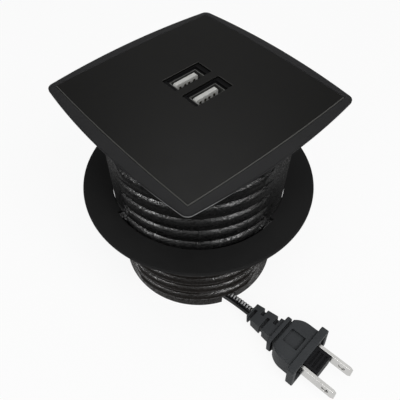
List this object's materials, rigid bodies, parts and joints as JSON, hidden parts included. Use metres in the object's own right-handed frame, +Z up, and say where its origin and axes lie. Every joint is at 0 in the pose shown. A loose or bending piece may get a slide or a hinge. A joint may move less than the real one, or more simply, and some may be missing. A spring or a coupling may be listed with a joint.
{
  "type": "desk usb charging box",
  "caption": "Desk grommet USB charger: square top plate with two ports, threaded barrel with clamp washer and lock nut, flat twin cord with a two-blade plug.",
  "frame": {"origin": "middle of the barrel's bottom rim, on the surface that it stands on", "axes": "+Z up along the barrel; X and Y along the top plate's sides; the cord leaves towards -Y"},
  "size_m": [0.1018, 0.1502, 0.0998],
  "materials": {
    "barrel_black": "fine spark grain on the thread side, matte",
    "bezel_black": "satin matte",
    "panel_graphite": "smooth satin",
    "washer_black": "dead matte",
    "port_black": "matte",
    "usb_steel": "plain tinned steel",
    "usb_insulator": "matte white",
    "contact_plate": "thin gold plate",
    "screw_steel": "zinc plated",
    "board_green": "solder mask",
    "ferrite": "sintered, matte",
    "coil_tape": "yellow tape",
    "can_aluminium": "bare can, sleeved side",
    "part_black": "moulded epoxy",
    "fuse_grey": "moulded box",
    "film_yellow": "moulded box",
    "cover_black": "matte",
    "gland_rubber": "matte",
    "cord_jacket": "soft gloss",
    "lead_jacket": "soft gloss",
    "plug_charcoal": "fine matte",
    "holder_black": "matte",
    "blade_nickel": "nickel plated"
  },
  "bodies": {
    "housing": {"threaded_barrel": "barrel_black", "top_bezel": "bezel_black", "inset_panel": "panel_graphite", "plate_screws": "screw_steel", "port_carrier": "port_black", "usb_shell_front": "usb_steel", "usb_insulator_front": "usb_insulator", "usb_contacts_front": "contact_plate", "usb_shell_rear": "usb_steel", "usb_insulator_rear": "usb_insulator", "usb_contacts_rear": "contact_plate", "carrier_screws": "screw_steel", "port_board": "board_green", "board_screws": "screw_steel", "power_board": "board_green", "board_header": "part_black", "transformer_core": "ferrite", "transformer_coil": "coil_tape", "bulk_capacitor": "can_aluminium", "filter_capacitor": "can_aluminium", "output_capacitor_a": "can_aluminium", "output_capacitor_b": "can_aluminium", "bridge_rectifier": "part_black", "switching_chip": "part_black", "line_fuse": "fuse_grey", "safety_capacitor": "film_yellow", "charge_chip": "part_black", "bottom_cover": "cover_black", "cover_screws": "screw_steel", "gland_cap": "cover_black", "cap_screws": "screw_steel", "cord_gland": "gland_rubber", "power_cord": "cord_jacket", "inner_leads": "lead_jacket", "plug_body": "plug_charcoal", "blade_holder": "holder_black", "plug_blades": "blade_nickel"},
    "washer": {"clamp_washer": "washer_black"},
    "nut": {"lock_nut": "barrel_black"}
  },
  "joints": [
    {"name": "washer_slide", "type": "slide", "parent": "housing", "child": "washer", "axis": [0, 0, 1], "range_m": [-0.03451, 0.03451]},
    {"name": "nut_spin", "type": "hinge", "parent": "washer", "child": "nut", "pos_m": [0, 0, 0.0476], "axis": [0, 0, 1], "range_deg": [-1656, 1656]}
  ],
  "couplings": [
    {"joint": "washer_slide", "follows": "nut_spin", "m_per_rad": 0.0011937}
  ]
}
